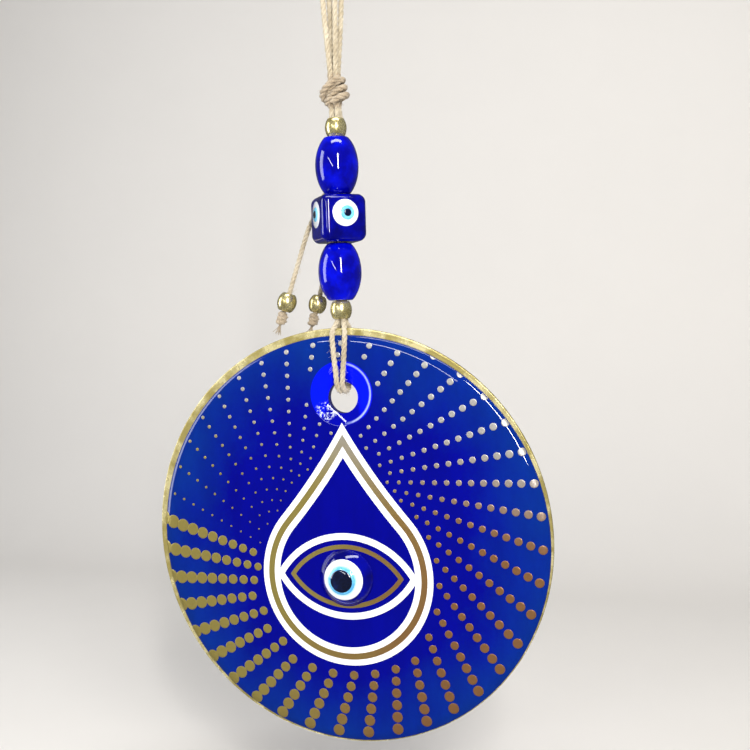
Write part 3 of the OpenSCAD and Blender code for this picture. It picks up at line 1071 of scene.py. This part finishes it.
def makeSquareBead(values):
    centre = middleOf("square_bead")
    half = values["side"] / 2
    core = half - values["round"]
    turn = math.radians(values["turn"])
    sharp = values["sharp"]

    def put(x, y, h):
        across, back = spun(x, y, turn)
        return Vector((across * mm, back * mm, centre + h * mm))

    def ring(corner, height, pull=0.0, target=values["bore"] + values["mouth"]):
        # pull draws the ring in towards the bore
        made = []
        for x, y in squareRing(core, corner, values["cornerSteps"], values["sideSteps"]):
            far = math.hypot(x, y)
            reach = far + (target - far) * pull
            made.append(put(x / far * reach, y / far * reach, height))
        return made

    def arc(first, middle):
        lifts = [math.radians(first + 10 * i) for i in range(10)]
        return [ring(values["round"] * math.cos(a) + sharp, middle + values["round"] * math.sin(a))
                for a in lifts]

    rings = [ring(sharp, -half, pull) for pull in (1.0, 0.66, 0.33)] + arc(-90, -core)
    rings += [ring(values["round"], -core + 2 * core * i / 6) for i in range(1, 6)] + arc(0, core)
    rings += [ring(sharp, half, pull) for pull in (0.33, 0.66, 1.0)]
    for height in (half - values["mouth"], 0.0, values["mouth"] - half):
        rings.append(ring(sharp, height, 1.0, values["bore"]))
    piece = finishMesh("squareBead", skinRings(rings, True), 50)
    wear(piece, cubeMaterial, "square", "blue_bead_glass", "square_bead")
    for layer, (name, node, material, slot) in enumerate((
            ("squareBeadWhites", "square_bead_whites", whiteMaterial, "fused_white"),
            ("squareBeadBlues", "square_bead_blues", blueMaterial, "fused_blue"),
            ("squareBeadPupils", "square_bead_pupils", blackMaterial, "fused_black"))):
        built = bmesh.new()
        for quarter in range(4):
            face = Matrix.Rotation(math.pi / 2 * quarter, 3, "Z")

            def onFace(x, y, h, face=face):
                return put(*(face @ Vector((x, -half - h, y + values["up"]))))

            addSpot(built, values, layer, onFace)
        piece = finishMesh(name, built)
        wear(piece, material, "square", slot, node)


def ballFor(radius, height):
    return (radius * radius + height * height) / (2 * height)


def addSpot(built, values, layer, put):
    # one thin fused layer that follows the spot's dome
    radius = values["spots"][layer]
    ball = ballFor(values["spots"][0], values["rise"])
    shift = values["shift"] if layer else 0.0
    lift = values["layers"][layer]
    rings = []
    for index, share in enumerate((1.0, 1.0, 0.97, 0.9, 0.78, 0.6, 0.4, 0.2)):
        rim = -values["skirt"] if index == 0 else lift * math.sqrt(max(0.0, 1 - share ** 8))
        ring = []
        for k in range(40):
            angle = fullTurn * k / 40
            x = shift + radius * share * math.cos(angle)
            y = radius * share * math.sin(angle)
            base = math.sqrt(ball * ball - min(x * x + y * y, ball * ball)) - ball + values["rise"]
            ring.append(put(x, y, base + rim))
        rings.append(ring)
    mesh = takeMesh("spotPart", skinRings(rings, False))
    built.from_mesh(mesh)
    bpy.data.meshes.remove(mesh)


makeRoundStack(beads)
makeSquareBead(squareBead)
print("beads made")


def onDisc(right, up, front):
    return place(right, -front, up - disc["drop"])


def dishHeight(right, up, values):
    # the front surface round the hole: a ground hollow with a softened lip
    face = values["thick"] / 2
    ball = ballFor(values["dishRadius"], values["dishDeep"])
    far = right * right + (up - values["dishUp"]) ** 2
    if far >= ball * ball:
        return face
    fall = ball - values["dishDeep"] - math.sqrt(ball * ball - far)
    soft = values["dishLip"]
    if fall / soft > 30:
        return face
    return face - soft * math.log(1 + math.exp(-fall / soft))


def flatRing(centreUp, radius, height, values):
    ring = []
    for k in range(values["segments"]):
        angle = fullTurn * k / values["segments"]
        right = radius * math.cos(angle)
        up = centreUp + radius * math.sin(angle)
        front = height if height is not None else dishHeight(right, up, values)
        ring.append(onDisc(right, up, front))
    return ring


def makeGlassDisc(values):
    face = values["thick"] / 2
    flat = values["glassRadius"] - values["shoulderWide"]
    lip = values["dishRadius"]
    bevel = values["bevelDeep"] - face
    outer = values["glassRadius"]
    inner = outer - values["bevelWide"]
    holeUp, holeRadius = values["holeUp"], values["holeRadius"]
    # up, radius and height of each circle: they slide from the hole's centre to the disc's as they grow
    circles = []
    for i in range(13):
        t = i / 12
        circles.append((holeUp + (values["dishUp"] - holeUp) * t, holeRadius + (lip - 0.6 - holeRadius) * t,
                        None))
    for extra in (-0.35, -0.2, -0.1, 0.0, 0.1, 0.2, 0.35, 0.6):
        circles.append((values["dishUp"], lip + extra, None))
    for i in range(1, 21):
        t = i / 20
        circles.append((values["dishUp"] * (1 - t), (lip + 0.6) * (1 - t) + flat * t, None))
    for i in range(1, 17):
        angle = math.pi / 2 * i / 16
        circles.append((0, flat + values["shoulderWide"] * math.sin(angle),
                        face - values["shoulderDeep"] * (1 - math.cos(angle))))
    circles += [(0, outer, bevel + 0.1), (0, outer - 0.12, bevel - 0.1), (0, inner + 0.15, 0.05 - face),
                (0, inner - 0.2, -face)]
    for i in range(1, 8):
        t = i / 8
        circles.append((holeUp * t, inner * (1 - t) + (holeRadius + 0.3) * t, -face))
    circles += [(holeUp, holeRadius + 0.3, -face), (holeUp, holeRadius, 0.3 - face)]
    rings = [flatRing(*circle, values) for circle in circles]
    piece = finishMesh("cobaltDisc", skinRings(rings, True), 50)
    wear(piece, discMaterial, "disc", "cobalt_glass", "glass_disc")


def makeGiltRim(values):
    # its outside is a circle of its own, off the glass's centre, so the gilding is wider at the top left
    front = values["thick"] / 2 - values["shoulderDeep"]
    back = values["bevelDeep"] - values["thick"] / 2
    inner = values["glassRadius"] + 0.02
    count = values["segments"]
    sections = [(0.0, front - 0.25), (0.0, front - 0.02), (0.08, front), (0.3, front - 0.03),
                (0.7, front - 0.03), (0.86, front + 0.02), (0.94, front - 0.06), (1.0, front - 0.3),
                (1.0, back + 0.3), (0.94, back + 0.06), (0.8, back), (0.1, back), (0.0, back + 0.02)]
    rings = []
    for share, height in sections:
        ring = []
        for k in range(count):
            angle = fullTurn * k / count
            toward = Vector((math.cos(angle), math.sin(angle)))
            # distance from the glass's centre to the rim's own circle, in this direction
            centre = Vector((values["rimSide"], values["rimRise"]))
            part = toward.dot(centre)
            outside = part + math.sqrt(values["rimRadius"] ** 2 - centre.length_squared + part * part)
            reach = inner + (outside - inner) * share
            ring.append(onDisc(reach * toward.x, reach * toward.y, height))
        rings.append(ring)
    piece = finishMesh("giltRim", skinRings(rings, True), 60)
    wear(piece, giltMaterial, "disc", "gilt", "gilt_rim")


makeGlassDisc(disc)
makeGiltRim(disc)


def paintPrint():
    # the drop's lines and the lids keep their shapes and only get a finish
    for node, material in (("drop_white_outer", enamelMaterial), ("drop_white_inner", enamelMaterial),
                           ("lid_lines", enamelMaterial), ("drop_gold_line", foilMaterial),
                           ("almond_line", foilMaterial)):
        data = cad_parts[node].data
        data.materials.clear()
        data.materials.append(material)


paintPrint()


dots = {
    "rays": 40, "growthRays": 40, "perRay": 13, "step": 3.65, "first": 15.2, "offset": 15.6, "start": 153.7,
    "finest": 0.88, "growth": 0.087, "inner": 0.21, "reach": 55, "layer": 0.12,
    "dropRadius": 27.3, "dropUp": -11.2, "dropSide": 41, "dropFlare": 188, "dropGap": 0.8,
    "dishGap": 0.3, "edge": 61.75, "sides": 16, "across": -1.2, "up": 2.0,
}


def dotShape(values):
    # a low embossed button, one millimetre across
    sections = [(0.5, 0.0), (0.5, 0.45), (0.46, 0.85), (0.38, 1.0), (0.2, 0.95)]

    def put(x, y, h):
        return Vector((x, y, h * values["layer"]))

    return finishMesh("dotShape", skinRings(turnedRings(sections, values["sides"], put), False))


dotSizes = (
    "rays", "growthRays", "perRay", "step", "first", "offset", "start", "finest", "growth", "inner", "reach",
    "across", "up", "dropRadius", "dropUp", "dropSide", "dropFlare", "dropGap", "dishRadius", "dishUp",
    "edge", "flat", "face", "shoulderWide", "shoulderDeep", "drop",
)


def makeDotTree():
    graph, given = newBuildTree("printDots", {
        "Geometry": ["Geometry"], "Float": dotSizes, "Object": ["dot"], "Material": ["material"]})
    index = graph.add("GeometryNodeInputIndex") + 0.0
    ray = graph.maths("FLOOR", (index + 0.5) / given["perRay"])
    step = index - ray * given["perRay"]
    along = given["first"] + step * given["step"]
    angle = given["start"] - ray * fullTurn / given["rays"]
    x = along * cosine(angle) - given["offset"] * sine(angle) + given["across"]
    y = along * sine(angle) + given["offset"] * cosine(angle) + given["up"]
    wide = (given["finest"] + given["growth"] * ray * given["growthRays"] / given["rays"]) * (
        given["inner"] + (1 - given["inner"]) * along / given["reach"])
    spots = graph.add("GeometryNodePoints", None,
                      {"Count": given["rays"] * given["perRay"], "Position": graph.joined(x, y, 0.0)})
    spots = graph.store(spots, "wide", wide)
    # leave out what would lie on the drop, on the dish or off the glass
    gap = wide / 2 + given["dropGap"]
    qx = size(x)  # the drop is the same on both sides
    qy = y - given["dropUp"]
    far = root(qx * qx + qy * qy)
    onRound = far < given["dropRadius"] + gap
    flareX = (given["dropRadius"] + given["dropFlare"]) * cosine(given["dropSide"])
    flareY = (given["dropRadius"] + given["dropFlare"]) * sine(given["dropSide"])
    tip = flareY - root(given["dropFlare"] ** 2 - flareX * flareX)
    fromFlare = root((qx - flareX) ** 2 + (qy - flareY) ** 2)
    onSide = (fromFlare > given["dropFlare"] - gap) * (qy < tip + gap) * (
        qy * cosine(given["dropSide"]) > qx * sine(given["dropSide"]))
    fromDish = root(x * x + (y - given["dishUp"]) ** 2)
    onDish = fromDish < given["dishRadius"] + wide / 2
    off = root(x * x + y * y) > given["edge"] + wide * 0.3
    hidden = larger(larger(onRound, onSide), larger(onDish, off))
    spots = graph.add("GeometryNodeDeleteGeometry", {"domain": "POINT"},
                      {"Geometry": spots, "Selection": hidden > 0.5})
    shape = graph.add("GeometryNodeObjectInfo", None, {"Object": given["dot"]}, "Geometry")
    read = graph.stored("wide")
    buttons = graph.add("GeometryNodeInstanceOnPoints", None,
                        {"Points": spots, "Instance": shape, "Scale": graph.joined(read, read, 1.0)})
    buttons = graph.add("GeometryNodeRealizeInstances", None, {"Geometry": buttons})
    # cut the outer dots at the glass's edge and lay them over its shoulder
    px, py, pz = graph.split(graph.add("GeometryNodeInputPosition"))
    radius = larger(root(px * px + py * py), 0.001)
    trim = smaller(given["edge"] / radius, 1.0)
    over = larger(smaller(radius, given["edge"]) - given["flat"], 0.0) / given["shoulderWide"]
    fall = given["shoulderDeep"] * (1 - root(larger(1 - over * over, 0.0)))
    front = given["face"] - fall + pz
    spot = graph.joined(px * trim * mm, front * -mm, (py * trim - given["drop"]) * mm)
    laid = graph.add("GeometryNodeSetPosition", None, {"Geometry": buttons, "Position": spot})
    endBuildTree(graph, laid, given["material"])
    return graph.tree


def makeFoilDots(values, glass):
    shape = dotShape(values)
    source = lineMesh("dotLine", [[Vector(), Vector((0, 0, mm))]])
    inputs = {
        **glass, **values, "start": math.radians(values["start"]), "face": glass["thick"] / 2,
        "dropSide": math.radians(values["dropSide"]), "flat": glass["glassRadius"] - glass["shoulderWide"],
        "dishRadius": glass["dishRadius"] + values["dishGap"], "dot": shape, "material": foilMaterial}
    piece = runBuildTree("foilDots", source, makeDotTree(), inputs)
    bpy.data.objects.remove(shape)
    wear(piece, None, "disc", "gold_foil", "foil_dots")


makeFoilDots(dots, disc)
print("disc made")


def onEye(x, y, height):
    return onDisc(x, eye["up"] + y, disc["thick"] / 2 + height)


def domeRings(radius, low, high, ball, sink, values):
    # a round layer on the eye's ball, between two heights above it, with a soft edge
    profile = [(radius, math.sqrt(ball * ball - radius * radius) - sink + low - values["skirt"])]
    for i in range(values["rows"]):
        share = math.sin(math.pi / 2 * (1 - i / values["rows"]))
        r = radius * share
        rim = math.sqrt(max(0.0, 1 - share ** 10))
        profile.append((r, math.sqrt(ball * ball - r * r) - sink + low + (high - low) * rim))
    return turnedRings(profile, values["segments"], onEye)


def makeGlassEye(values):
    ball = ballFor(values["radius"], values["height"])
    sink = ball - values["height"]
    profile = [(values["radius"], -0.02), (values["radius"], 0.02)]
    for i in range(1, values["baseRows"]):
        r = values["radius"] * math.cos(math.pi / 2 * i / values["baseRows"])
        profile.append((r, math.sqrt(ball * ball - r * r) - sink))
    piece = finishMesh("glassEye", skinRings(turnedRings(profile, values["baseSegments"], onEye), False))
    wear(piece, eyeGlassMaterial, "disc", "eye_glass", "glass_eye")
    low = 0.0
    for name, node, part, high, material, slot in zip(
            ("eyeWhite", "eyeSkyRing", "eyePupil"), ("eye_white", "eye_sky_ring", "eye_pupil"),
            ("whiteRadius", "skyRadius", "pupilRadius"), values["layers"],
            (eyeWhiteMaterial, skyMaterial, blackMaterial), ("fused_white", "fused_sky", "fused_black")):
        rings = domeRings(values[part], low, high, ball, sink, values)
        piece = finishMesh(name, skinRings(rings, False), 60)
        wear(piece, material, "disc", slot, node)
        low = high


makeGlassEye(eye)
print("eye made")


studio = {
    "floor": -262, "wall": 420, "bend": 160, "wide": 2400, "near": -1500, "high": 1700,
    "pale": (0.80, 0.78, 0.75), "world": (0.86, 0.88, 0.92), "worldStrength": 0.10,
}


def makeBackdrop(values):
    # a floor that curves up into a plain wall
    section = [(values["near"], values["floor"])]
    for i in range(13):
        angle = math.pi / 2 * i / 12
        section.append((values["wall"] - values["bend"] * (1 - math.sin(angle)),
                        values["floor"] + values["bend"] * (1 - math.cos(angle))))
    section.append((values["wall"], values["high"]))
    built = bmesh.new()
    sides = []
    for x in (-values["wide"] / 2, values["wide"] / 2):
        sides.append([built.verts.new(place(x, y, z)) for y, z in section])
    for i in range(len(section) - 1):
        built.faces.new((sides[0][i], sides[1][i], sides[1][i + 1], sides[0][i + 1]))
    piece = addPiece("backdrop", takeMesh("backdrop", built))
    material, graph, shader, spot = newMaterial("palePaper", {"Roughness": 0.9})
    grain = graph.noise(spot, 30.0, 3.0)
    pale = values["pale"]
    graph.feed(shader["Base Color"], graph.blendColour(
        grain, [0.98 * c for c in pale], pale))
    piece.data.materials.append(material)
    piece.visible_glossy = False  # the glass reflects the lamps, not the paper


lamps = [
    {"name": "keyLamp", "spot": (240, -470, 60), "aim": (0, 0, -130), "size": (36, 330), "watts": 2.4,
     "colour": (1.0, 0.97, 0.93), "glossy": True},
    {"name": "slantLamp", "spot": (-120, -480, 40), "aim": (0, 0, -70), "size": (300, 16), "watts": 0.35,
     "colour": (1.0, 0.99, 0.97), "glossy": True, "roll": -35},
    {"name": "softLamp", "spot": (300, -400, 160), "aim": (0, 0, -140), "size": (260, 260), "watts": 1.7,
     "colour": (1.0, 0.97, 0.93), "glossy": False},
    {"name": "fillLamp", "spot": (-560, -200, 0), "aim": (0, 0, -130), "size": (220, 520), "watts": 2.0,
     "colour": (0.94, 0.96, 1.0), "glossy": True},
    {"name": "topLamp", "spot": (60, -150, 380), "aim": (0, 0, -130), "size": (420, 90), "watts": 1.3,
     "colour": (1.0, 1.0, 1.0), "glossy": True},
]


def makeLamps(lampList, values):
    for lamp in lampList:
        data = bpy.data.lights.new(lamp["name"], "AREA")
        data.shape = "RECTANGLE"
        data.size, data.size_y = (s * mm for s in lamp["size"])
        data.energy = lamp["watts"]
        data.color = lamp["colour"]
        holder = addObject(lamp["name"], data)
        holder.location = place(*lamp["spot"])
        aim = place(*lamp["aim"]) - holder.location
        holder.rotation_mode = "QUATERNION"
        roll = Matrix.Rotation(math.radians(lamp.get("roll", 0)), 3, "Z").to_quaternion()
        holder.rotation_quaternion = aim.to_track_quat("-Z", "Y") @ roll
        holder.visible_glossy = lamp["glossy"]
    world = bpy.data.worlds.new("studioAir")
    world.use_nodes = True
    sky = world.node_tree.nodes["Background"].inputs
    sky["Color"].default_value = (*values["world"], 1)
    sky["Strength"].default_value = values["worldStrength"]
    bpy.context.scene.world = world
    bpy.context.scene.view_settings.view_transform = "Standard"


makeBackdrop(studio)
makeLamps(lamps, studio)
print("studio lit")
